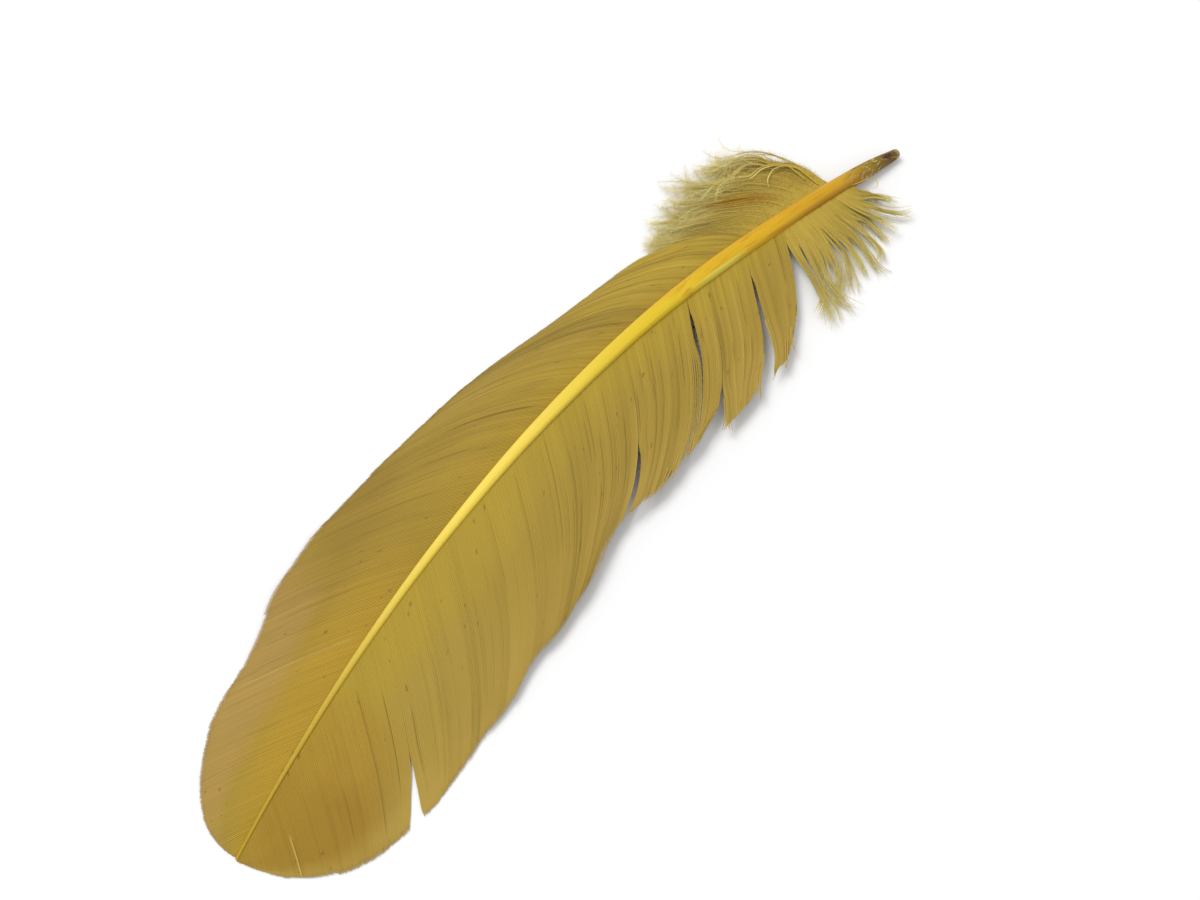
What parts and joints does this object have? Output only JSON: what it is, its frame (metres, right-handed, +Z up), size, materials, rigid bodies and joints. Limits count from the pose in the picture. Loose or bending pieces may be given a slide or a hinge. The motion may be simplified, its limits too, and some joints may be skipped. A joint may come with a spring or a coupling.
{
  "type": "goose quill feather",
  "caption": "Dyed golden-yellow goose wing feather with a curved shaft, a wide inner and a narrower outer vane and downy locks by the quill, lying flat with its upper side up.",
  "frame": {"origin": "centre of the bounding box's base: the point of the surface under the middle of the feather", "axes": "+X along the straight line from the end of the quill to the tip, +Y across towards the wide inner vane, +Z up, out of the feather's upper side"},
  "size_m": [0.297, 0.0792, 0.012],
  "materials": {
    "feather": "dyed keratin barbs, satin, with a glossier yellow shaft"
  },
  "bodies": {
    "root": {"feather": "feather"}
  },
  "joints": []
}
